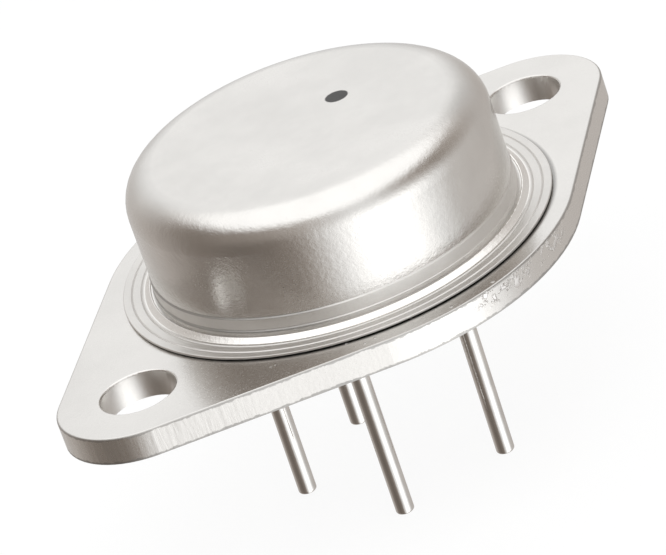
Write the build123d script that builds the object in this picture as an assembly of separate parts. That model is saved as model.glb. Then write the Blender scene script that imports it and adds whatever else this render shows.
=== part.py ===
from build123d import *

import math
import os

# Four-lead voltage regulator in a welded metal can: a diamond-shaped steel base plate with two
# screw holes, a drawn cap welded on top of it, and four round leads sealed in glass.
# The origin is the centre of the plate's underside, which is the face that seats on a heat sink.
# +X runs through the two screw holes, +Z up through the cap, and the leads run down along -Z.
# All sizes are in millimetres.

# Base plate
HOLE_SPACING = 30.15
HOLE_DIAMETER = 4.0
PLATE_THICKNESS = 1.5
PLATE_END_RADIUS = 4.35
PLATE_MARGIN = 1.15
EDGE_ROLL = 0.12

# Cap
CASE_HEIGHT = 8.33
DRUM_DIAMETER = 19.7
CAP_WALL = 0.6
CROWN_RADIUS = 1.84
LIP_WIDTH = 1.84
LIP_THICKNESS = 0.14
LIP_GAP = 0.05
LIP_EDGE_ROUND = 0.05
INNER_LINE_FROM_EDGE = 1.02
OUTER_LINE_FROM_EDGE = 0.49
PRESS_LINE_WIDTH = 0.12
PRESS_LINE_DEPTH = 0.035
BEAD_WIDTH = 0.38
BEAD_HEIGHT = 0.46
BEAD_ROUND = 0.06
FOOT_GROOVE_WIDTH = 0.18
FOOT_GROOVE_DEPTH = 0.12
COLLAR_STEP = 0.06
COLLAR_HEIGHT = 1.35
COLLAR_FLARE = 0.05
COLLAR_FLARE_HEIGHT = 0.6
WELD_RIDGE_WIDTH = 0.7
CORNER_EASE = 0.06

# Leads and glass seals
LEAD_CIRCLE = 11.94
LEAD_STEP_DEG = 72
LEAD_DIAMETER = 1.0
LEAD_LENGTH = 12.0
LEAD_TIP_ROUND = 0.15
LEAD_BEND_START = 0.6
LEAD_BEND_END = 2.6
LEAD_BEND_RADIUS = 1.5
POST_HEIGHT = 1.6
NAIL_HEAD_DIAMETER = 1.5
NAIL_HEAD_THICKNESS = 0.3
SEAL_DIAMETER = 3.2
SEAL_RECESS = 0.1
MENISCUS_HEIGHT = 0.2
MENISCUS_WIDTH = 0.3

# Heat spreader, die and bond wires
SPREADER_CLEARANCE = 0.25
SPREADER_THICKNESS = 1.0
SPREADER_SOLDER = 0.08
DIE_LENGTH = 3.4
DIE_WIDTH = 3.0
DIE_THICKNESS = 0.3
DIE_SOLDER = 0.05
SOLDER_FILLET = 0.15
PAD_INSET = 0.5
POWER_WIRE_DIAMETER = 0.25
SIGNAL_WIRE_DIAMETER = 0.15
WIRE_LOOP = 0.9
WIRE_FOOT = 0.3
WIRE_PAIR_PITCH = 0.55

# Sizes that follow from those above
HOLE_X = HOLE_SPACING / 2
DRUM_R = DRUM_DIAMETER / 2
DRUM_INNER_R = DRUM_R - CAP_WALL
LIP_R = DRUM_R + LIP_WIDTH
PLATE_MID_R = LIP_R + PLATE_MARGIN
LEAD_R = LEAD_DIAMETER / 2
LEAD_CIRCLE_R = LEAD_CIRCLE / 2
SEAL_R = SEAL_DIAMETER / 2
SPREADER_HALF = (
    LEAD_CIRCLE_R * math.cos(math.radians(LEAD_STEP_DEG / 2)) - SEAL_R - SPREADER_CLEARANCE
)
SPREADER_FLOOR = PLATE_THICKNESS + SPREADER_SOLDER
SPREADER_TOP = SPREADER_FLOOR + SPREADER_THICKNESS
DIE_FLOOR = SPREADER_TOP + DIE_SOLDER
DIE_TOP = DIE_FLOOR + DIE_THICKNESS
POST_TOP = PLATE_THICKNESS + POST_HEIGHT

# Five places, 72 degrees apart, lie on the lead circle. The one on the +X axis stays empty.
LEAD_PLACES = {
    "output": 1,
    "input": 2,
    "control": 3,
    "common": 4,
}

# Handling has pushed each lead a little off its place: by the first pair along X and Y where its
# bend below the plate ends, and by the second pair at its tip.
LEAD_SET = {
    "output": ((-0.16, -0.01), (-0.36, -0.17)),
    "input": ((0.14, -0.10), (0.02, -0.08)),
    "control": ((0.38, -0.29), (0.33, -0.25)),
    "common": ((0.01, 0.12), (0.00, 0.31)),
}


def lead_centre(place):
    """Centre of a lead, counted in steps around the lead circle from the +X axis."""
    angle = math.radians(place * LEAD_STEP_DEG)
    return LEAD_CIRCLE_R * math.cos(angle), LEAD_CIRCLE_R * math.sin(angle)


def turned(corners):
    """A solid of revolution about Z from (radius, height, corner rounding) corners."""
    points = [(radius, 0, height) for radius, height, _ in corners]
    roundings = [rounding for _, _, rounding in corners]
    outline = FilletPolyline(*points, radius=roundings, close=True)
    return revolve(make_face(outline.edges()), axis=Axis.Z)


def diamond_outline():
    """Plate outline: a large arc over each long side and a small arc round each screw hole."""
    lean = math.acos((PLATE_MID_R - PLATE_END_RADIUS) / HOLE_X)
    across, up = math.cos(lean), math.sin(lean)
    mid = (PLATE_MID_R * across, PLATE_MID_R * up)
    end = (HOLE_X + PLATE_END_RADIUS * across, PLATE_END_RADIUS * up)
    tip = HOLE_X + PLATE_END_RADIUS
    return make_face(
        [
            Line(end, mid),
            ThreePointArc(mid, (0, PLATE_MID_R), (-mid[0], mid[1])),
            Line((-mid[0], mid[1]), (-end[0], end[1])),
            ThreePointArc((-end[0], end[1]), (-tip, 0), (-end[0], -end[1])),
            Line((-end[0], -end[1]), (-mid[0], -mid[1])),
            ThreePointArc((-mid[0], -mid[1]), (0, -PLATE_MID_R), (mid[0], -mid[1])),
            Line((mid[0], -mid[1]), (end[0], -end[1])),
            ThreePointArc((end[0], -end[1]), (tip, 0), end),
        ]
    )


def base_plate():
    """Punched plate, its upper edges rolled over by the punch, then pierced for the seals."""
    plate = extrude(diamond_outline(), PLATE_THICKNESS)
    for x in (-HOLE_X, HOLE_X):
        plate -= Pos(x, 0, PLATE_THICKNESS / 2) * Cylinder(HOLE_DIAMETER / 2, 2 * PLATE_THICKNESS)
    upper_edges = plate.faces().sort_by(Axis.Z)[-1].edges()
    plate = fillet(upper_edges, EDGE_ROLL)
    for place in LEAD_PLACES.values():
        x, y = lead_centre(place)
        plate -= Pos(x, y, PLATE_THICKNESS / 2) * Cylinder(SEAL_R, 2 * PLATE_THICKNESS)
    return plate


def press_line(from_edge, height):
    """Corners of a fine V-shaped line pressed round the lip, from its outer side inwards."""
    middle = LIP_R - from_edge
    return [
        (middle + PRESS_LINE_WIDTH / 2, height, 0),
        (middle, height - PRESS_LINE_DEPTH, 0),
        (middle - PRESS_LINE_WIDTH / 2, height, 0),
    ]


def cap():
    """Drawn cap: a round drum with a rounded crown and a thin pressed lip at its foot.

    Only the weld ridge under the lip touches the plate, which leaves a gap under the lip's edge.
    A sloping bead and a narrow groove lie between the lip and the slightly wider collar.
    """
    floor = PLATE_THICKNESS
    lip_low = floor + LIP_GAP
    lip_high = lip_low + LIP_THICKNESS
    collar_r = DRUM_R + COLLAR_STEP
    flare_r = collar_r + COLLAR_FLARE
    flare_low = floor + COLLAR_FLARE_HEIGHT
    bead_in = collar_r + FOOT_GROOVE_WIDTH
    bead_out = bead_in + BEAD_WIDTH
    bead_top = floor + BEAD_HEIGHT
    groove_floor = bead_top - FOOT_GROOVE_DEPTH
    collar_top = floor + COLLAR_HEIGHT
    ridge_in = DRUM_R - WELD_RIDGE_WIDTH / 2
    ridge_out = DRUM_R + WELD_RIDGE_WIDTH / 2
    return turned(
        [
            (DRUM_INNER_R, lip_low, 0),
            (ridge_in, floor, 0),
            (ridge_out, floor, 0),
            (ridge_out + LIP_GAP, lip_low, 0),
            (LIP_R, lip_low, LIP_EDGE_ROUND),
            (LIP_R, lip_high, LIP_EDGE_ROUND),
            *press_line(OUTER_LINE_FROM_EDGE, lip_high),
            *press_line(INNER_LINE_FROM_EDGE, lip_high),
            (bead_out, lip_high, BEAD_ROUND),
            (bead_in, bead_top, BEAD_ROUND),
            (bead_in, groove_floor, 0),
            (collar_r, groove_floor, 0),
            (collar_r, flare_low - COLLAR_FLARE, 0),
            (flare_r, flare_low, 0),
            (collar_r, flare_low + COLLAR_FLARE, 0),
            (collar_r, collar_top - COLLAR_STEP, 0),
            (DRUM_R, collar_top, 0),
            (DRUM_R, CASE_HEIGHT, CROWN_RADIUS),
            (0, CASE_HEIGHT, 0),
            (0, CASE_HEIGHT - CAP_WALL, 0),
            (DRUM_INNER_R, CASE_HEIGHT - CAP_WALL, CROWN_RADIUS - CAP_WALL),
        ]
    )


def lead_wire(name):
    """Round wire of a lead: straight through the glass, then slightly bent, with an eased tip."""
    (bend_x, bend_y), (tip_x, tip_y) = LEAD_SET[name]
    low = -LEAD_LENGTH
    bend = Vector(bend_x, bend_y, -LEAD_BEND_END)
    tip = Vector(tip_x, tip_y, low)
    beyond = tip + (tip - bend).normalized() * LEAD_DIAMETER
    points = [Vector(0, 0, POST_TOP), Vector(0, 0, -LEAD_BEND_START), bend, beyond]
    path = FilletPolyline(*points, radius=[LEAD_BEND_RADIUS, LEAD_BEND_RADIUS])
    wire = sweep(Plane(origin=path @ 0, z_dir=path % 0) * Circle(LEAD_R), path=path)
    spare = Pos(tip_x, tip_y, low - LEAD_LENGTH / 2) * Box(LEAD_LENGTH, LEAD_LENGTH, LEAD_LENGTH)
    wire -= spare
    return fillet(wire.faces().sort_by(Axis.Z)[0].edges(), LEAD_TIP_ROUND)


def lead(name, place):
    """Lead with a flattened nail head inside the can for the wires."""
    head = turned(
        [
            (0, POST_TOP - NAIL_HEAD_THICKNESS, 0),
            (NAIL_HEAD_DIAMETER / 2, POST_TOP - NAIL_HEAD_THICKNESS, CORNER_EASE),
            (NAIL_HEAD_DIAMETER / 2, POST_TOP, CORNER_EASE),
            (0, POST_TOP, 0),
        ]
    )
    return Pos(*lead_centre(place), 0) * (lead_wire(name) + head)


def seal(place):
    """Glass ring fused between the plate and a lead, drawn up the lead on both sides."""
    low = SEAL_RECESS
    high = PLATE_THICKNESS - SEAL_RECESS
    collar_r = LEAD_R + MENISCUS_WIDTH
    ring = turned(
        [
            (LEAD_R, low - MENISCUS_HEIGHT / 2, 0),
            (collar_r, low, 0),
            (SEAL_R, low, 0),
            (SEAL_R, high, 0),
            (collar_r, high, 0),
            (LEAD_R, high + MENISCUS_HEIGHT, 0),
        ]
    )
    return Pos(*lead_centre(place), 0) * ring


def slab(length, width, floor, thickness):
    """Flat rectangular block centred on the Z axis, standing on the given height."""
    return Pos(0, 0, floor + thickness / 2) * Box(length, width, thickness)


def solder(length, width, floor, thickness):
    """Solder joint whose edge slopes out beyond the block that it holds."""
    foot = Plane.XY.offset(floor) * Rectangle(length + 2 * SOLDER_FILLET, width + 2 * SOLDER_FILLET)
    top = Plane.XY.offset(floor + thickness) * Rectangle(length, width)
    return loft([foot, top])


def bond_wire(start, start_floor, finish, finish_floor, diameter):
    """Looped wire between two pads, with a short flat-lying foot at each end."""
    radius = diameter / 2
    first = Vector(start[0], start[1], start_floor + radius)
    last = Vector(finish[0], finish[1], finish_floor + radius)
    run = Vector(finish[0] - start[0], finish[1] - start[1], 0)
    along = run.normalized()
    peak = max(start_floor, finish_floor) + WIRE_LOOP
    crest = first + run / 3
    points = [
        first - along * WIRE_FOOT / 2,
        first + along * WIRE_FOOT / 2,
        Vector(crest.X, crest.Y, peak),
        last - along * WIRE_FOOT,
        last + along * WIRE_FOOT / 2,
    ]
    bend = 2 * diameter
    path = FilletPolyline(*points, radius=[bend / 2, bend, bend / 2])
    section = Plane(origin=path @ 0, z_dir=path % 0) * Circle(radius)
    return sweep(section, path=path)


def pad_towards(place, offset):
    """Wire pad near the die's edge on the side of a lead, moved sideways by the offset."""
    x, y = lead_centre(place)
    half_length = DIE_LENGTH / 2 - PAD_INSET
    half_width = DIE_WIDTH / 2 - PAD_INSET
    reach = min(half_length / abs(x), half_width / abs(y))
    side_x, side_y = -y / LEAD_CIRCLE_R, x / LEAD_CIRCLE_R
    return x * reach + side_x * offset, y * reach + side_y * offset


def post_pad(place, offset):
    """Wire place on a lead's nail head, moved sideways by the offset."""
    x, y = lead_centre(place)
    return x - y / LEAD_CIRCLE_R * offset, y + x / LEAD_CIRCLE_R * offset


def die_wire(place, offset, diameter):
    """Wire from the die to a lead."""
    return bond_wire(
        pad_towards(place, offset), DIE_TOP, post_pad(place, offset), POST_TOP, diameter
    )


def case_wire():
    """Wire that ties the common lead to the heat spreader and so to the case."""
    x, y = lead_centre(LEAD_PLACES["common"])
    landing = (DIE_LENGTH / 2 + SPREADER_HALF) / 2
    return bond_wire(
        (landing, -landing), SPREADER_TOP, (x + WIRE_PAIR_PITCH / 2, y), POST_TOP, SIGNAL_WIRE_DIAMETER
    )


def bond_wires():
    """Power leads get a pair of thick wires, the other two get one thin wire each."""
    wires = {}
    for name in ("input", "output"):
        for number, side in enumerate((-1, 1), start=1):
            offset = side * WIRE_PAIR_PITCH / 2
            wires[f"wire_{name}_{number}"] = die_wire(LEAD_PLACES[name], offset, POWER_WIRE_DIAMETER)
    wires["wire_control"] = die_wire(LEAD_PLACES["control"], 0, SIGNAL_WIRE_DIAMETER)
    common_offset = -WIRE_PAIR_PITCH / 2
    wires["wire_common"] = die_wire(LEAD_PLACES["common"], common_offset, SIGNAL_WIRE_DIAMETER)
    wires["wire_case"] = case_wire()
    return wires


def build():
    """Every piece by its node name."""
    spreader_side = 2 * SPREADER_HALF
    pieces = {
        "base_plate": base_plate(),
        "cap": cap(),
        "spreader_solder": solder(spreader_side, spreader_side, PLATE_THICKNESS, SPREADER_SOLDER),
        "heat_spreader": slab(spreader_side, spreader_side, SPREADER_FLOOR, SPREADER_THICKNESS),
        "die_solder": solder(DIE_LENGTH, DIE_WIDTH, SPREADER_TOP, DIE_SOLDER),
        "regulator_die": slab(DIE_LENGTH, DIE_WIDTH, DIE_FLOOR, DIE_THICKNESS),
    }
    for name, place in LEAD_PLACES.items():
        pieces[f"lead_{name}"] = lead(name, place)
        pieces[f"seal_{name}"] = seal(place)
    pieces.update(bond_wires())
    return pieces


os.makedirs("parts", exist_ok=True)
for node, solid in build().items():
    export_step(solid, f"parts/{node}.step")
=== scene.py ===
import math

import bpy
from mathutils import Matrix, Vector


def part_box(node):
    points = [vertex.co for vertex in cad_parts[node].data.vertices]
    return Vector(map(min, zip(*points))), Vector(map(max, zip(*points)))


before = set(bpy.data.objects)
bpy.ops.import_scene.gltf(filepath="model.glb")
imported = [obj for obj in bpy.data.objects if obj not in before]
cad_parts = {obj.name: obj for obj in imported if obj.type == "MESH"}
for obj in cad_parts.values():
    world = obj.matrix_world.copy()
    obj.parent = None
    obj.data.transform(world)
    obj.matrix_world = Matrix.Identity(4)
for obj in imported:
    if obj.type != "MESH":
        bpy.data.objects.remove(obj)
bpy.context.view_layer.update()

bl_info = {
    "name": "Metal Can Regulator Finish",
    "version": (1, 0, 0),
    "blender": (4, 5, 0),
    "location": "View3D > Sidebar > Regulator",
    "description": "Finishes every piece of a four-lead metal-can voltage regulator and lights it",
    "category": "Object",
}

MM = 0.001
SIGNALS = ("input", "output", "control", "common")
WIRES = (
    "wire_input_1",
    "wire_input_2",
    "wire_output_1",
    "wire_output_2",
    "wire_control",
    "wire_common",
    "wire_case",
)

# Height of the floor, in metres.
LEAD_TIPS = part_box("lead_input")[0].z

# In millimetres, as the shaders measure. Heights are over the plate's underside.
PLATE_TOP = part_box("base_plate")[1].z / MM
CAP_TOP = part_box("cap")[1].z / MM
HOLE_PLACE = 15.075  # from the axis to each screw hole
HOLE_RADIUS = 2.0
LIP_RADIUS = 11.69  # of the thin lip welded to the plate
LIP_TOP = 1.69
BEAD_INNER = 10.0  # of the bead at the drum's foot
BEAD_OUTER = 10.47
COLLAR_BOTTOM = 1.95
COLLAR_TOP = 2.85
STREAKS_FADE = -12.5  # the punched edge's streaks grow strong between these two places along X
STREAKS_WHOLE = -14.5

# Sectors round the axis, in degrees from +X: where each starts, is whole, is still whole and ends.
CHIPPED = (-104, -97, -73, -66)
SPECKLED = (-160, -142, -96, -78)

FLOOR_HALF_WIDTH = 1.5
FLOOR_WHITE = 1.03
SHADOW_SHARE = 0.12
OVERHEAD_PLACE = (-0.10, -0.13, 0.32)
OVERHEAD_SIZE = 0.22


# ---------------------------------------------------------------- sizes and colours


class RegulatorColours(bpy.types.PropertyGroup):
    nickel: bpy.props.FloatVectorProperty(
        name="Nickel",
        description="Satin nickel plate on the base plate and the cap",
        default=(0.80, 0.785, 0.76),
        subtype="COLOR",
        min=0,
        max=1,
    )
    lead: bpy.props.FloatVectorProperty(
        name="Lead",
        description="Brighter nickel plate on the leads",
        default=(0.80, 0.785, 0.765),
        subtype="COLOR",
        min=0,
        max=1,
    )
    ink: bpy.props.FloatVectorProperty(
        name="Ink",
        description="Ink of the printed dot on the cap",
        default=(0.035, 0.034, 0.033),
        subtype="COLOR",
        min=0,
        max=1,
    )
    glass: bpy.props.FloatVectorProperty(
        name="Glass",
        description="Dark sealing glass round the leads",
        default=(0.018, 0.028, 0.024),
        subtype="COLOR",
        min=0,
        max=1,
    )
    copper: bpy.props.FloatVectorProperty(
        name="Copper",
        description="Heat spreader",
        default=(0.80, 0.42, 0.28),
        subtype="COLOR",
        min=0,
        max=1,
    )
    solder: bpy.props.FloatVectorProperty(
        name="Solder",
        description="Solder under the spreader and the chip",
        default=(0.55, 0.56, 0.57),
        subtype="COLOR",
        min=0,
        max=1,
    )
    silicon: bpy.props.FloatVectorProperty(
        name="Silicon",
        description="Chip",
        default=(0.16, 0.18, 0.23),
        subtype="COLOR",
        min=0,
        max=1,
    )
    aluminium: bpy.props.FloatVectorProperty(
        name="Aluminium",
        description="Bond wires",
        default=(0.86, 0.87, 0.88),
        subtype="COLOR",
        min=0,
        max=1,
    )
    fresh_metal: bpy.props.FloatVectorProperty(
        name="Fresh metal",
        description="Bright metal in the chips on the plate's edge",
        default=(0.97, 0.96, 0.95),
        subtype="COLOR",
        min=0,
        max=1,
    )


class RegulatorFinish(bpy.types.PropertyGroup):
    grain_size: bpy.props.FloatProperty(
        name="Grain size",
        description="Width of one grain of the satin finish",
        default=0.09 * MM,
        min=0.01 * MM,
        max=1 * MM,
        precision=6,
        unit="LENGTH",
    )
    plate_grain_depth: bpy.props.FloatProperty(
        name="Plate grain depth",
        description="Height of the satin grain on the plate",
        default=0.0024 * MM,
        min=0,
        max=0.1 * MM,
        precision=6,
        unit="LENGTH",
    )
    cap_grain_depth: bpy.props.FloatProperty(
        name="Cap grain depth",
        description="Height of the satin grain on the cap",
        default=0.00576 * MM,
        min=0,
        max=0.1 * MM,
        precision=6,
        unit="LENGTH",
    )
    lip_line_depth: bpy.props.FloatProperty(
        name="Lip line depth",
        description="Depth of the fine lines round the cap's lip",
        default=0.008 * MM,
        min=0,
        max=0.1 * MM,
        precision=6,
        unit="LENGTH",
    )
    dot_radius: bpy.props.FloatProperty(
        name="Dot radius",
        description="Radius of the plain dot printed on the cap",
        default=0.62 * MM,
        min=0,
        max=5 * MM,
        precision=6,
        unit="LENGTH",
    )
    dot_place: bpy.props.FloatProperty(
        name="Dot place",
        description="How far the dot's centre lies from the cap's axis, towards +X",
        default=3.0 * MM,
        min=0,
        max=8 * MM,
        precision=6,
        unit="LENGTH",
    )
    shear_depth: bpy.props.FloatProperty(
        name="Shear mark depth",
        description="Depth of the marks that punching left down the plate's edge",
        default=0.014 * MM,
        min=0,
        max=0.2 * MM,
        precision=6,
        unit="LENGTH",
    )
    chip_depth: bpy.props.FloatProperty(
        name="Chip depth",
        description="Depth of the chips on the plate's edge",
        default=0.05 * MM,
        min=0,
        max=0.2 * MM,
        precision=6,
        unit="LENGTH",
    )
    speck_height: bpy.props.FloatProperty(
        name="Speck height",
        description="Height of the specks on the plate",
        default=0.02 * MM,
        min=0,
        max=0.2 * MM,
        precision=6,
        unit="LENGTH",
    )


class RegulatorStage(bpy.types.PropertyGroup):
    azimuth: bpy.props.FloatProperty(
        name="Azimuth",
        description="Camera's turn round the part, 0 looking along +Y",
        default=math.radians(-36.84),
        subtype="ANGLE",
    )
    elevation: bpy.props.FloatProperty(
        name="Elevation",
        description="Camera's height above the horizon",
        default=math.radians(26.45),
        subtype="ANGLE",
    )
    roll: bpy.props.FloatProperty(
        name="Roll",
        description="Camera's turn about its own line of sight",
        default=math.radians(19.42),
        subtype="ANGLE",
    )
    distance: bpy.props.FloatProperty(
        name="Distance",
        description="Camera's distance from the point it aims at",
        default=238.4 * MM,
        unit="LENGTH",
    )
    aim: bpy.props.FloatVectorProperty(
        name="Aim",
        description="Point that the camera looks at",
        default=(-0.85 * MM, 0.34 * MM, -0.48 * MM),
        subtype="TRANSLATION",
    )
    lens: bpy.props.FloatProperty(
        name="Lens",
        description="Focal length in millimetres on a sensor 36 mm wide",
        default=246.6,
    )
    overhead_power: bpy.props.FloatProperty(
        name="Overhead power",
        description="Power of the soft light over the part",
        default=0.45,
        subtype="POWER",
    )
    overhead_level: bpy.props.FloatProperty(
        name="Overhead level",
        description="Brightness of the soft box over the part, as the metal reflects it",
        default=1.34,
        min=0,
    )


# ---------------------------------------------------------------- node helpers


def put(tree, kind, **settings):
    """A new node with its settings, and with its inputs where a setting is named after a socket."""
    made = tree.nodes.new(kind)
    for name, value in settings.items():
        if name in made.inputs:
            made.inputs[name].default_value = value
        else:
            setattr(made, name, value)
    return made


def join(tree, source, target):
    tree.links.new(source, target)


def maths(tree, operation, *values, clamp=False):
    """A math node fed by sockets or numbers. Returns its output."""
    made = tree.nodes.new("ShaderNodeMath")
    made.operation = operation
    made.use_clamp = clamp
    for socket, value in zip(made.inputs, values):
        if isinstance(value, bpy.types.NodeSocket):
            join(tree, value, socket)
        else:
            socket.default_value = value
    return made.outputs[0]


def product(tree, first, *others):
    """Several sockets or numbers multiplied together."""
    for other in others:
        first = maths(tree, "MULTIPLY", first, other)
    return first


def total(tree, first, *others):
    """Several sockets or numbers added together."""
    for other in others:
        first = maths(tree, "ADD", first, other)
    return first


def smooth(tree, value, start, end, low=0.0, high=1.0):
    """A smooth step of a value from low at start to high at end."""
    made = tree.nodes.new("ShaderNodeMapRange")
    made.interpolation_type = "SMOOTHSTEP"
    join(tree, value, made.inputs["Value"])
    made.inputs["From Min"].default_value = start
    made.inputs["From Max"].default_value = end
    made.inputs["To Min"].default_value = low
    made.inputs["To Max"].default_value = high
    return made.outputs["Result"]


def band(tree, value, start, whole, fading, end):
    """1 between whole and fading, and 0 outside start and end."""
    return product(tree, smooth(tree, value, start, whole), smooth(tree, value, end, fading))


def sector(tree, angle, degrees):
    """A band of angles in radians, given by its four bearings in degrees."""
    return band(tree, angle, *[math.radians(bearing) for bearing in degrees])


def mixed(tree, factor, first, second):
    """A mix of two colours by a socket. Its sockets share their names, so they are picked by type."""
    made = tree.nodes.new("ShaderNodeMix")
    made.data_type = "RGBA"
    share = [socket for socket in made.inputs if socket.name == "Factor" and socket.type == "VALUE"][0]
    join(tree, factor, share)
    colours = [socket for socket in made.inputs if socket.type == "RGBA"]
    for socket, value in zip(colours, (first, second)):
        if isinstance(value, bpy.types.NodeSocket):
            join(tree, value, socket)
        else:
            socket.default_value = (*value, 1)
    return [socket for socket in made.outputs if socket.type == "RGBA"][0]


def joined(tree, x, y, z):
    """A vector from its three parts."""
    made = put(tree, "ShaderNodeCombineXYZ")
    for part, socket in zip((x, y, z), made.inputs):
        join(tree, part, socket)
    return made.outputs["Vector"]


def scaled(tree, made, place, scale):
    """Gives a texture its place and its scale, which is a socket or a number."""
    join(tree, place, made.inputs["Vector"])
    if isinstance(scale, bpy.types.NodeSocket):
        join(tree, scale, made.inputs["Scale"])
    else:
        made.inputs["Scale"].default_value = scale
    return made


def noise(tree, place, scale, **settings):
    """Cloudy noise from about 0.25 to 0.75."""
    return scaled(tree, put(tree, "ShaderNodeTexNoise", **settings), place, scale).outputs["Fac"]


def cells(tree, place, scale):
    """Cells round scattered points. Returns the node."""
    return scaled(tree, put(tree, "ShaderNodeTexVoronoi"), place, scale)


def new_group(name, inputs, outputs):
    """An empty shader node group with float, vector or colour sockets."""
    tree = bpy.data.node_groups.new(name, "ShaderNodeTree")
    kinds = {"float": "NodeSocketFloat", "vector": "NodeSocketVector", "colour": "NodeSocketColor"}
    for label, kind, default in inputs:
        socket = tree.interface.new_socket(label, in_out="INPUT", socket_type=kinds[kind])
        socket.default_value = default
    for label, kind in outputs:
        tree.interface.new_socket(label, in_out="OUTPUT", socket_type=kinds[kind])
    return tree, put(tree, "NodeGroupInput"), put(tree, "NodeGroupOutput")


def use_group(tree, name, **values):
    made = tree.nodes.new("ShaderNodeGroup")
    made.node_tree = bpy.data.node_groups[name]
    for label, value in values.items():
        made.inputs[label.replace("_", " ").capitalize()].default_value = value
    return made


def place_in_mm(tree):
    """Place on the part, in millimetres of the part's own frame."""
    coordinates = put(tree, "ShaderNodeTexCoord")
    in_mm = put(tree, "ShaderNodeVectorMath", operation="SCALE", Scale=1 / MM)
    join(tree, coordinates.outputs["Object"], in_mm.inputs[0])
    return in_mm.outputs["Vector"]


def parts_of(tree, vector):
    split = put(tree, "ShaderNodeSeparateXYZ")
    join(tree, vector, split.inputs[0])
    return split.outputs


def sum_of_squares(tree, first, second):
    return total(tree, product(tree, first, first), product(tree, second, second))


def round_place(tree, vector):
    """Radius from the part's axis, angle round it and height."""
    x, y, z = parts_of(tree, vector)
    return maths(tree, "SQRT", sum_of_squares(tree, x, y)), maths(tree, "ARCTAN2", y, x), z


def on_plate_top(tree, height):
    return smooth(tree, height, PLATE_TOP - 0.06, PLATE_TOP - 0.01)


# ---------------------------------------------------------------- shared effects


def build_satin_grain():
    """Fine grain of tumbled and plated metal, with a faint cloudiness over it."""
    tree, inside, outside = new_group(
        "satin_grain",
        [("Grain size", "float", 0.09), ("Cloud size", "float", 4.0), ("Pit share", "float", 0.3)],
        [("Grain", "float"), ("Cloud", "float"), ("Height", "float")],
    )
    place = place_in_mm(tree)
    scale = maths(tree, "DIVIDE", 1.0, inside.outputs["Grain size"])
    cloud_scale = maths(tree, "DIVIDE", 1.0, inside.outputs["Cloud size"])
    fine = noise(tree, place, scale, Detail=2.0, Roughness=0.6)
    coarse = noise(tree, place, product(tree, scale, 0.3), Detail=3.0, Roughness=0.55)
    cloud = noise(tree, place, cloud_scale, Detail=4.0, Roughness=0.55)
    pits = cells(tree, place, product(tree, scale, 0.35))
    pit = smooth(tree, pits.outputs["Distance"], 0.05, 0.25, -1.0, 0.0)
    height = total(
        tree,
        product(tree, fine, 0.6),
        product(tree, coarse, 1.8),
        product(tree, pit, inside.outputs["Pit share"]),
    )
    join(tree, height, outside.inputs["Height"])
    join(tree, fine, outside.inputs["Grain"])
    join(tree, cloud, outside.inputs["Cloud"])


def build_ring_lines():
    """Fine lines that run round the part's axis, as drawing and spinning leave them."""
    tree, inside, outside = new_group(
        "ring_lines",
        [("Line width", "float", 0.09), ("Breakup", "float", 0.5)],
        [("Lines", "float")],
    )
    radius, angle, height = round_place(tree, place_in_mm(tree))
    scale = maths(tree, "DIVIDE", 1.0, inside.outputs["Line width"])
    along = joined(
        tree,
        product(tree, radius, scale),
        product(tree, height, scale),
        product(tree, angle, inside.outputs["Breakup"]),
    )
    join(tree, noise(tree, along, 1.0, Detail=2.0, Roughness=0.6), outside.inputs["Lines"])


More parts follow.
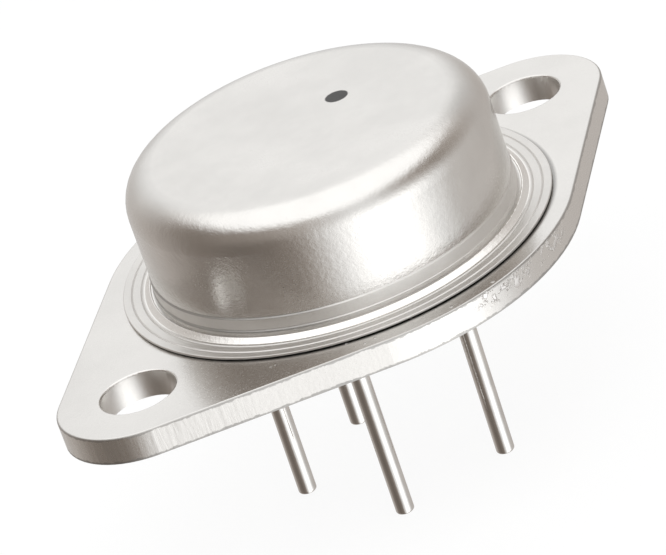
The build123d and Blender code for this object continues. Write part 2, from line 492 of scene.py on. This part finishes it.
def build_shear_marks():
    """Marks of punching: streaks down the outer edge, dull lines along its rims, chips on one side."""
    tree, inside, outside = new_group(
        "shear_marks",
        [("Mark width", "float", 0.3), ("Chip size", "float", 0.5)],
        [("Marks", "float"), ("Chips", "float"), ("Rims", "float"), ("Side", "float"), ("Hole", "float")],
    )
    place = place_in_mm(tree)
    angle, height = round_place(tree, place)[1:]
    x, y, z = parts_of(tree, place)

    # Upright faces, told apart into the outer edge and the walls of the screw holes.
    normal = put(tree, "ShaderNodeNewGeometry").outputs["Normal"]
    slope = maths(tree, "ABSOLUTE", parts_of(tree, normal)[2])
    upright = smooth(tree, slope, 0.6, 0.3)
    from_hole = maths(tree, "SUBTRACT", maths(tree, "ABSOLUTE", x), HOLE_PLACE)
    hole_distance = maths(tree, "SQRT", sum_of_squares(tree, from_hole, y))
    outer = smooth(tree, hole_distance, HOLE_RADIUS + 0.3, HOLE_RADIUS + 0.5)
    in_hole = smooth(tree, hole_distance, HOLE_RADIUS + 0.5, HOLE_RADIUS + 0.3)
    side = product(tree, upright, outer)

    # Streaks from top to bottom, strong at the plate's -X end and faint along the rest.
    scale = maths(tree, "DIVIDE", 1.0, inside.outputs["Mark width"])
    upward = joined(tree, product(tree, x, scale), product(tree, y, scale), product(tree, z, 0.3))
    marks = noise(tree, upward, 1.0, Detail=4.0, Roughness=0.6)
    streaked = smooth(tree, x, STREAKS_FADE, STREAKS_WHOLE, 0.12, 1.0)

    # Flakes lifted from the upper half of the edge in one sector.
    chip_scale = maths(tree, "DIVIDE", 1.0, inside.outputs["Chip size"])
    flakes = noise(tree, place, chip_scale, Detail=3.0, Roughness=0.7, Distortion=0.6)
    flake = smooth(tree, flakes, 0.53, 0.60)
    upper = smooth(tree, height, 0.45, 0.8)

    # Dull lines where the edge meets the top and the underside, with a wavering border.
    waver = smooth(tree, flakes, 0.25, 0.75, 0.0, 0.12)
    low_rim = smooth(tree, maths(tree, "ADD", height, waver), 0.22, 0.15)
    high_rim = smooth(tree, maths(tree, "SUBTRACT", height, waver), PLATE_TOP - 0.20, PLATE_TOP - 0.16)
    either_rim = maths(tree, "MAXIMUM", low_rim, product(tree, high_rim, 0.8))
    off_top = smooth(tree, slope, 0.97, 0.85)

    join(tree, product(tree, marks, side, streaked), outside.inputs["Marks"])
    join(tree, product(tree, flake, upper, sector(tree, angle, CHIPPED), side), outside.inputs["Chips"])
    join(tree, product(tree, either_rim, off_top, outer), outside.inputs["Rims"])
    join(tree, side, outside.inputs["Side"])
    join(tree, product(tree, upright, in_hole), outside.inputs["Hole"])


def build_specks():
    """Sparse raised specks on the plate in front of the cap, each about a tenth of a millimetre."""
    tree, inside, outside = new_group(
        "specks",
        [("Spacing", "float", 0.5), ("Speck radius", "float", 0.11)],
        [("Specks", "float")],
    )
    place = place_in_mm(tree)
    radius, angle, height = round_place(tree, place)
    spacing = inside.outputs["Spacing"]
    spots = cells(tree, place, maths(tree, "DIVIDE", 1.0, spacing))
    distance = product(tree, spots.outputs["Distance"], spacing)
    size = product(tree, parts_of(tree, spots.outputs["Color"])[0], inside.outputs["Speck radius"])
    speck = smooth(tree, maths(tree, "SUBTRACT", distance, size), 0.035, -0.015)
    near = smooth(tree, radius, 14.0, 12.6)
    chosen = product(tree, speck, sector(tree, angle, SPECKLED), on_plate_top(tree, height), near)
    join(tree, chosen, outside.inputs["Specks"])


# ---------------------------------------------------------------- materials


def blank_material(name):
    """A material with only a Principled BSDF. Returns it with its tree and its shader."""
    material = bpy.data.materials.new(name)
    material.use_nodes = True
    tree = material.node_tree
    tree.nodes.clear()
    shader = put(tree, "ShaderNodeBsdfPrincipled")
    output = put(tree, "ShaderNodeOutputMaterial")
    join(tree, shader.outputs["BSDF"], output.inputs["Surface"])
    return material, tree, shader


def bump(tree, height, depth, below=None):
    """A bump of the given depth in metres on top of another normal."""
    made = put(tree, "ShaderNodeBump", Strength=1.0, Distance=depth)
    join(tree, height, made.inputs["Height"])
    if below is not None:
        join(tree, below, made.inputs["Normal"])
    return made.outputs["Normal"]


def tinted(colour, share):
    """A colour made darker, or lighter where the share is over 1."""
    return tuple(part * share for part in colour)


def clouded(tree, colour, grain, dark):
    """A colour that the grain's clouds darken by a share."""
    cloud = smooth(tree, grain.outputs["Cloud"], 0.3, 0.7)
    return mixed(tree, cloud, tinted(colour, dark), tuple(colour))


def cap_material(colours, finish):
    """Satin nickel, duller at the foot, with painted shade on the collar's edges, a painted highlight on
    the bead, a lined lip and the printed dot.
    """
    material, tree, shader = blank_material("satin_nickel_cap")
    grain = use_group(tree, "satin_grain", grain_size=finish.grain_size / MM, cloud_size=5.0)
    lines = use_group(tree, "ring_lines")
    place = place_in_mm(tree)
    radius, angle, height = round_place(tree, place)

    # Where the lip, the whole foot and the bead's face are.
    on_lip = smooth(tree, height, LIP_TOP + 0.12, LIP_TOP + 0.02)
    on_foot = smooth(tree, height, COLLAR_TOP + 0.08, COLLAR_TOP - 0.05)
    across_bead = band(tree, radius, BEAD_INNER, BEAD_INNER + 0.06, BEAD_OUTER + 0.03, BEAD_OUTER + 0.10)
    under_collar = smooth(tree, height, COLLAR_BOTTOM + 0.10, COLLAR_BOTTOM)
    on_bead = product(tree, across_bead, under_collar)

    # The collar's two edges carry painted shade on its -X side.
    top_edge = band(
        tree, height, COLLAR_TOP - 0.10, COLLAR_TOP - 0.05, COLLAR_TOP + 0.02, COLLAR_TOP + 0.06
    )
    flare_edge = band(
        tree, height, COLLAR_BOTTOM, COLLAR_BOTTOM + 0.05, COLLAR_BOTTOM + 0.18, COLLAR_BOTTOM + 0.28
    )
    shaded_collar_side = maths(
        tree,
        "MAXIMUM",
        smooth(tree, angle, math.radians(-128), math.radians(-146)),
        smooth(tree, angle, math.radians(120), math.radians(140)),
    )
    shaded_collar_edges = product(tree, maths(tree, "MAXIMUM", top_edge, flare_edge), shaded_collar_side, 0.8)

    # The dot has a slightly ragged border.
    from_dot = put(tree, "ShaderNodeVectorMath", operation="DISTANCE")
    join(tree, place, from_dot.inputs[0])
    from_dot.inputs[1].default_value = (finish.dot_place / MM, 0, CAP_TOP)
    ragged = total(tree, from_dot.outputs["Value"], product(tree, grain.outputs["Grain"], 0.08))
    dot_radius = finish.dot_radius / MM
    dot = smooth(tree, ragged, dot_radius + 0.08, dot_radius)

    metal = clouded(tree, colours.nickel, grain, 0.9)
    # Painted shade: the collar's edges are darkened on the -X side.
    metal = mixed(tree, shaded_collar_edges, metal, tinted(colours.nickel, 0.5))
    # Painted highlight: the bead's colour is lightened.
    metal = mixed(tree, on_bead, metal, tinted(colours.nickel, 1.14))
    join(tree, mixed(tree, dot, metal, tuple(colours.ink)), shader.inputs["Base Color"])
    join(tree, maths(tree, "SUBTRACT", 1.0, dot), shader.inputs["Metallic"])
    rough = total(
        tree,
        smooth(tree, grain.outputs["Grain"], 0.25, 0.75, 0.17, 0.26),
        smooth(tree, grain.outputs["Cloud"], 0.3, 0.7, -0.02, 0.03),
        product(tree, maths(tree, "SUBTRACT", on_foot, on_bead), 0.20),
        product(tree, dot, 0.25),
    )
    join(tree, rough, shader.inputs["Roughness"])
    normal = bump(tree, grain.outputs["Height"], finish.cap_grain_depth)
    lip_lines = product(tree, lines.outputs["Lines"], on_lip)
    join(tree, bump(tree, lip_lines, finish.lip_line_depth, normal), shader.inputs["Normal"])
    return material


def plate_material(colours, finish):
    """Satin nickel with a punched edge, specks, and painted shadow in the seam along the lip."""
    material, tree, shader = blank_material("satin_nickel_plate")
    grain = use_group(tree, "satin_grain", grain_size=finish.grain_size / MM, cloud_size=6.0)
    shear = use_group(tree, "shear_marks").outputs
    specks = use_group(tree, "specks").outputs["Specks"]
    radius, angle, height = round_place(tree, place_in_mm(tree))

    # Painted shadow darkens the seam from the plate's -X end, round its -Y side, to its +X end.
    seam = smooth(tree, radius, LIP_RADIUS + 0.30, LIP_RADIUS + 0.06, 0.0, 0.75)
    start = smooth(tree, angle, math.radians(155), math.radians(180), 0.0, 0.4)
    rest = smooth(tree, angle, math.radians(-180), math.radians(-160), 0.4, 1.0)
    end = smooth(tree, angle, math.radians(90), math.radians(60))
    shadowed_stretch = total(tree, product(tree, rest, end), start)
    seam_shadow = product(tree, seam, shadowed_stretch, on_plate_top(tree, height))

    metal = clouded(tree, colours.nickel, grain, 0.93)
    metal = mixed(tree, product(tree, shear["Side"], 0.5), metal, tinted(colours.nickel, 1.04))
    worn = smooth(tree, shear["Marks"], 0.55, 0.72, 0.0, 0.25)
    metal = mixed(tree, worn, metal, tinted(colours.nickel, 0.70))
    metal = mixed(tree, product(tree, shear["Rims"], 0.7), metal, tinted(colours.nickel, 0.42))
    metal = mixed(tree, product(tree, shear["Chips"], 0.7), metal, tuple(colours.fresh_metal))
    # Painted shadow: the seam under the lip is darkened.
    metal = mixed(tree, seam_shadow, metal, tinted(colours.nickel, 0.3))
    join(tree, metal, shader.inputs["Base Color"])
    shader.inputs["Metallic"].default_value = 1
    rough = total(
        tree,
        smooth(tree, grain.outputs["Grain"], 0.25, 0.75, 0.19, 0.28),
        product(tree, shear["Marks"], 0.12),
        product(tree, shear["Rims"], 0.15),
        product(tree, shear["Hole"], 0.12),
        product(tree, specks, 0.35),
        product(tree, shear["Chips"], 0.15),
    )
    join(tree, rough, shader.inputs["Roughness"])
    normal = bump(tree, grain.outputs["Height"], finish.plate_grain_depth)
    normal = bump(tree, shear["Marks"], finish.shear_depth, normal)
    normal = bump(tree, specks, finish.speck_height, normal)
    join(tree, bump(tree, shear["Chips"], finish.chip_depth, normal), shader.inputs["Normal"])
    return material


def lead_material(colours):
    """Bright nickel with streaks down the wire from drawing."""
    material, tree, shader = blank_material("bright_nickel_lead")
    grain = use_group(tree, "satin_grain", grain_size=0.06, cloud_size=1.5, pit_share=0.1)
    x, y, z = parts_of(tree, place_in_mm(tree))
    down = joined(tree, product(tree, x, 14.0), product(tree, y, 14.0), product(tree, z, 0.5))
    streaks = noise(tree, down, 1.0, Detail=3.0, Roughness=0.6)
    join(tree, clouded(tree, colours.lead, grain, 0.88), shader.inputs["Base Color"])
    shader.inputs["Metallic"].default_value = 1
    join(tree, smooth(tree, streaks, 0.3, 0.7, 0.08, 0.17), shader.inputs["Roughness"])
    normal = bump(tree, streaks, 0.003 * MM)
    join(tree, bump(tree, grain.outputs["Height"], 0.0015 * MM, normal), shader.inputs["Normal"])
    return material


def glass_material(colours):
    """Dark glass with a cloudy, slightly uneven skin."""
    material, tree, shader = blank_material("sealing_glass")
    grain = use_group(tree, "satin_grain", grain_size=0.2, cloud_size=1.0, pit_share=0.5)
    cloud = smooth(tree, grain.outputs["Cloud"], 0.3, 0.7)
    glass = mixed(tree, cloud, tuple(colours.glass), tinted(colours.glass, 2.2))
    join(tree, glass, shader.inputs["Base Color"])
    join(tree, smooth(tree, grain.outputs["Grain"], 0.3, 0.7, 0.06, 0.18), shader.inputs["Roughness"])
    shader.inputs["IOR"].default_value = 1.52
    join(tree, bump(tree, grain.outputs["Height"], 0.004 * MM), shader.inputs["Normal"])
    return material


def plain_metal(name, colour, grain_size, low_rough, high_rough, depth):
    """Metal of the hidden pieces, with its own grain."""
    material, tree, shader = blank_material(name)
    grain = use_group(tree, "satin_grain", grain_size=grain_size, cloud_size=12 * grain_size)
    join(tree, clouded(tree, colour, grain, 0.8), shader.inputs["Base Color"])
    shader.inputs["Metallic"].default_value = 1
    rough = smooth(tree, grain.outputs["Grain"], 0.3, 0.7, low_rough, high_rough)
    join(tree, rough, shader.inputs["Roughness"])
    join(tree, bump(tree, grain.outputs["Height"], depth), shader.inputs["Normal"])
    return material


def silicon_material(colours):
    """Polished chip with a grid of metal pads and lines on its top face."""
    material, tree, shader = blank_material("chip_silicon")
    pads = put(tree, "ShaderNodeTexBrick", Scale=1.0, offset=0.35)
    pads.inputs["Brick Width"].default_value = 0.42
    pads.inputs["Row Height"].default_value = 0.23
    pads.inputs["Mortar Size"].default_value = 0.03
    join(tree, place_in_mm(tree), pads.inputs["Vector"])
    lines = pads.outputs["Fac"]
    chip = mixed(tree, lines, tuple(colours.silicon), tuple(colours.aluminium))
    join(tree, chip, shader.inputs["Base Color"])
    shader.inputs["Metallic"].default_value = 1
    join(tree, smooth(tree, lines, 0.0, 1.0, 0.12, 0.3), shader.inputs["Roughness"])
    join(tree, bump(tree, lines, 0.004 * MM), shader.inputs["Normal"])
    return material


def finish_node(name, material):
    """Gives a carried-over piece its material in place of any other."""
    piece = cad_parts[name]
    piece.data.materials.clear()
    piece.data.materials.append(material)


# ---------------------------------------------------------------- operators


class REGULATOR_OT_effects(bpy.types.Operator):
    """Build the shader effects that several materials share"""

    bl_idname = "regulator.effects"
    bl_label = "Shared Effects"

    def execute(self, context):
        build_satin_grain()
        build_ring_lines()
        build_shear_marks()
        build_specks()
        return {"FINISHED"}


class REGULATOR_OT_plate(bpy.types.Operator):
    """Finish the base plate in satin nickel with a punched edge"""

    bl_idname = "regulator.plate"
    bl_label = "Base Plate"

    def execute(self, context):
        settings = context.scene
        finish_node("base_plate", plate_material(settings.regulator_colours, settings.regulator_finish))
        return {"FINISHED"}


class REGULATOR_OT_cap(bpy.types.Operator):
    """Finish the cap in satin nickel with a printed dot"""

    bl_idname = "regulator.cap"
    bl_label = "Cap"

    def execute(self, context):
        settings = context.scene
        finish_node("cap", cap_material(settings.regulator_colours, settings.regulator_finish))
        return {"FINISHED"}


class REGULATOR_OT_leads(bpy.types.Operator):
    """Finish the four leads in bright drawn nickel"""

    bl_idname = "regulator.leads"
    bl_label = "Leads"

    def execute(self, context):
        material = lead_material(context.scene.regulator_colours)
        for signal in SIGNALS:
            finish_node(f"lead_{signal}", material)
        return {"FINISHED"}


class REGULATOR_OT_seals(bpy.types.Operator):
    """Finish the four seals in dark glass"""

    bl_idname = "regulator.seals"
    bl_label = "Glass Seals"

    def execute(self, context):
        material = glass_material(context.scene.regulator_colours)
        for signal in SIGNALS:
            finish_node(f"seal_{signal}", material)
        return {"FINISHED"}


class REGULATOR_OT_inside(bpy.types.Operator):
    """Finish the pieces inside the can"""

    bl_idname = "regulator.inside"
    bl_label = "Inside Pieces"

    def execute(self, context):
        colours = context.scene.regulator_colours
        finish_node("heat_spreader", plain_metal("copper", colours.copper, 0.12, 0.25, 0.4, 0.005 * MM))
        solder = plain_metal("solder", colours.solder, 0.2, 0.35, 0.55, 0.01 * MM)
        finish_node("spreader_solder", solder)
        finish_node("die_solder", solder)
        finish_node("regulator_die", silicon_material(colours))
        aluminium = plain_metal("bond_wire", colours.aluminium, 0.05, 0.15, 0.3, 0.002 * MM)
        for wire in WIRES:
            finish_node(wire, aluminium)
        return {"FINISHED"}


def pale_floor(level):
    """Wide flat floor at the height of the lead tips."""
    corners = []
    for x, y in ((-1, -1), (1, -1), (1, 1), (-1, 1)):
        corners.append((x * FLOOR_HALF_WIDTH, y * FLOOR_HALF_WIDTH, level))
    mesh = bpy.data.meshes.new("floor")
    mesh.from_pydata(corners, [], [(0, 1, 2, 3)])
    floor = bpy.data.objects.new("floor", mesh)
    bpy.context.scene.collection.objects.link(floor)
    return floor


# The studio's brightness by bearing in degrees anticlockwise from +X, given in round numbers.
# The low sweep is level with the part and below it, and the high one is a third of the way up.
LOW_SWEEP = (
    (0, 0.55),  # grey room
    (30, 0.50),
    (50, 0.75),  # foot of the backdrop
    (75, 0.60),
    (110, 0.45),
    (145, 0.20),
    (175, 0.15),  # dark side
    (205, 0.20),
    (215, 0.35),
    (230, 0.90),
    (250, 1.60),  # bright card
    (280, 1.60),
    (300, 0.90),
    (315, 0.60),
    (360, 0.55),
)
HIGH_SWEEP = (
    (0, 0.55),  # grey room
    (25, 0.70),
    (50, 1.10),  # white backdrop
    (70, 0.90),
    (95, 0.60),
    (125, 0.25),
    (145, 0.20),  # dark side
    (190, 0.30),
    (215, 0.45),
    (245, 0.90),  # upper edge of the card
    (260, 0.90),
    (290, 0.40),
    (310, 0.25),  # dark corner
    (335, 0.35),
    (360, 0.55),
)

# Between these two heights of the line of sight, one sweep gives way to the next, and the high one
# to the soft box overhead. Height is the upward part of a direction, from -1 to 1.
LOW_TO_HIGH = (-0.09, 0.50)
HIGH_TO_OVERHEAD = (0.60, 0.84)


def studio_tone(level):
    """The dark parts of the studio are a little warm, and the bright ones neutral."""
    warm = min(max((0.75 - level) / 0.55, 0), 1)
    return (level * (1 + 0.15 * warm), level * (1 - 0.02 * warm), level * (1 - 0.15 * warm), 1)


def sweep_ramp(tree, turn, sweep):
    """Colour by bearing, where turn runs from 0 to 1."""
    node = put(tree, "ShaderNodeValToRGB")
    join(tree, turn, node.inputs["Fac"])
    elements = node.color_ramp.elements
    elements[0].position, elements[0].color = 0, studio_tone(sweep[0][1])
    elements[1].position, elements[1].color = 1, studio_tone(sweep[-1][1])
    for bearing, level in sweep[1:-1]:
        elements.new(bearing / 360).color = studio_tone(level)
    return node.outputs["Color"]


def chosen_shader(tree, chooser, usual, other):
    """The usual shader where the chooser is 0, and the other where it is 1."""
    made = put(tree, "ShaderNodeMixShader")
    join(tree, chooser, made.inputs[0])
    join(tree, usual, made.inputs[1])
    join(tree, other, made.inputs[2])
    return made.outputs[0]


def floor_material():
    """Pale floor that the camera sees nearly white, with a soft shadow, and sees through from below.
    Metal sees past it."""
    material = bpy.data.materials.new("pale_floor")
    material.use_nodes = True
    tree = material.node_tree
    tree.nodes.clear()
    rays = put(tree, "ShaderNodeLightPath").outputs
    matt = put(tree, "ShaderNodeBsdfDiffuse", Color=(0.85, 0.85, 0.85, 1)).outputs[0]
    white = put(tree, "ShaderNodeEmission", Color=(1, 1, 1, 1), Strength=FLOOR_WHITE).outputs[0]
    clear = put(tree, "ShaderNodeBsdfTransparent").outputs[0]
    shown = put(tree, "ShaderNodeMixShader", Fac=SHADOW_SHARE)
    join(tree, white, shown.inputs[1])
    join(tree, matt, shown.inputs[2])
    for_camera = chosen_shader(tree, rays["Is Camera Ray"], matt, shown.outputs[0])
    for_metal = chosen_shader(tree, rays["Is Glossy Ray"], for_camera, clear)
    below = put(tree, "ShaderNodeNewGeometry").outputs["Backfacing"]
    output = put(tree, "ShaderNodeOutputMaterial")
    join(tree, chosen_shader(tree, below, for_metal, clear), output.inputs["Surface"])
    return material


def light_world(stage):
    """Soft world: white to the camera, plain grey to matt surfaces, the studio to metal."""
    world = bpy.data.worlds.new("studio")
    bpy.context.scene.world = world
    world.use_nodes = True
    tree = world.node_tree
    tree.nodes.clear()
    x, y, up = parts_of(tree, put(tree, "ShaderNodeTexCoord").outputs["Generated"])
    turn = maths(tree, "DIVIDE", maths(tree, "ARCTAN2", y, x), 2 * math.pi)
    turn = maths(tree, "FRACT", maths(tree, "ADD", turn, 1.0))
    low = sweep_ramp(tree, turn, LOW_SWEEP)
    high = sweep_ramp(tree, turn, HIGH_SWEEP)
    level = mixed(tree, smooth(tree, up, *LOW_TO_HIGH), low, high)
    level = mixed(tree, smooth(tree, up, *HIGH_TO_OVERHEAD), level, (stage.overhead_level,) * 3)
    mirrored = put(tree, "ShaderNodeBackground")
    join(tree, level, mirrored.inputs["Color"])
    plain = put(tree, "ShaderNodeBackground", Color=(0.8, 0.8, 0.8, 1))
    white = put(tree, "ShaderNodeBackground", Color=(1, 1, 1, 1))
    rays = put(tree, "ShaderNodeLightPath").outputs
    for_camera = chosen_shader(tree, rays["Is Camera Ray"], plain.outputs[0], white.outputs[0])
    for_metal = chosen_shader(tree, rays["Is Glossy Ray"], for_camera, mirrored.outputs[0])
    output = put(tree, "ShaderNodeOutputWorld")
    join(tree, for_metal, output.inputs["Surface"])


def soft_light(name, place, target, size, power):
    """Square soft light that faces a point."""
    data = bpy.data.lights.new(name, "AREA")
    data.shape = "SQUARE"
    data.size = size
    data.energy = power
    lamp = bpy.data.objects.new(name, data)
    bpy.context.scene.collection.objects.link(lamp)
    lamp.location = place
    lamp.rotation_euler = (Vector(target) - Vector(place)).to_track_quat("-Z", "Y").to_euler()
    return lamp


def set_camera(stage):
    """Camera on a long lens, rolled about its own line of sight."""
    data = bpy.data.cameras.new("camera")
    data.sensor_width = 36
    data.lens = stage.lens
    camera = bpy.data.objects.new("camera", data)
    scene = bpy.context.scene
    scene.collection.objects.link(camera)
    level = math.cos(stage.elevation)
    back = Vector(
        (
            math.sin(stage.azimuth) * level,
            -math.cos(stage.azimuth) * level,
            math.sin(stage.elevation),
        )
    )
    turned = (-back).to_track_quat("-Z", "Y").to_matrix().to_4x4()
    rolled = turned @ Matrix.Rotation(-stage.roll, 4, "Z")
    camera.matrix_world = Matrix.Translation(Vector(stage.aim) + back * stage.distance) @ rolled
    scene.camera = camera


class REGULATOR_OT_stage(bpy.types.Operator):
    """Set the floor, the light, the world and the camera"""

    bl_idname = "regulator.stage"
    bl_label = "Stage"

    def execute(self, context):
        scene = context.scene
        stage = scene.regulator_stage
        scene.view_settings.view_transform = "Standard"
        floor = pale_floor(LEAD_TIPS)
        floor.data.materials.append(floor_material())
        light_world(stage)
        lamp = soft_light("overhead", OVERHEAD_PLACE, (0, 0, 0), OVERHEAD_SIZE, stage.overhead_power)
        lamp.visible_glossy = False
        set_camera(stage)
        return {"FINISHED"}


class REGULATOR_PT_panel(bpy.types.Panel):
    """Lists the regulator's sizes, colours and steps"""

    bl_idname = "REGULATOR_PT_panel"
    bl_label = "Metal Can Regulator"
    bl_space_type = "VIEW_3D"
    bl_region_type = "UI"
    bl_category = "Regulator"

    def draw(self, context):
        scene = context.scene
        for group in (scene.regulator_finish, scene.regulator_colours, scene.regulator_stage):
            box = self.layout.box()
            for name in group.__annotations__:
                box.prop(group, name)
        for step in STEPS:
            self.layout.operator(step.bl_idname)


STEPS = (
    REGULATOR_OT_effects,
    REGULATOR_OT_plate,
    REGULATOR_OT_cap,
    REGULATOR_OT_leads,
    REGULATOR_OT_seals,
    REGULATOR_OT_inside,
    REGULATOR_OT_stage,
)
GROUPS = {
    "regulator_colours": RegulatorColours,
    "regulator_finish": RegulatorFinish,
    "regulator_stage": RegulatorStage,
}


def register():
    for name, group in GROUPS.items():
        bpy.utils.register_class(group)
        setattr(bpy.types.Scene, name, bpy.props.PointerProperty(type=group))
    for step in STEPS:
        bpy.utils.register_class(step)
    bpy.utils.register_class(REGULATOR_PT_panel)


def unregister():
    bpy.utils.unregister_class(REGULATOR_PT_panel)
    for step in reversed(STEPS):
        bpy.utils.unregister_class(step)
    for name, group in reversed(GROUPS.items()):
        delattr(bpy.types.Scene, name)
        bpy.utils.unregister_class(group)


def main():
    register()
    bpy.ops.regulator.effects()
    bpy.ops.regulator.plate()
    bpy.ops.regulator.cap()
    bpy.ops.regulator.leads()
    bpy.ops.regulator.seals()
    bpy.ops.regulator.inside()
    bpy.ops.regulator.stage()


if __name__ == "__main__":
    main()
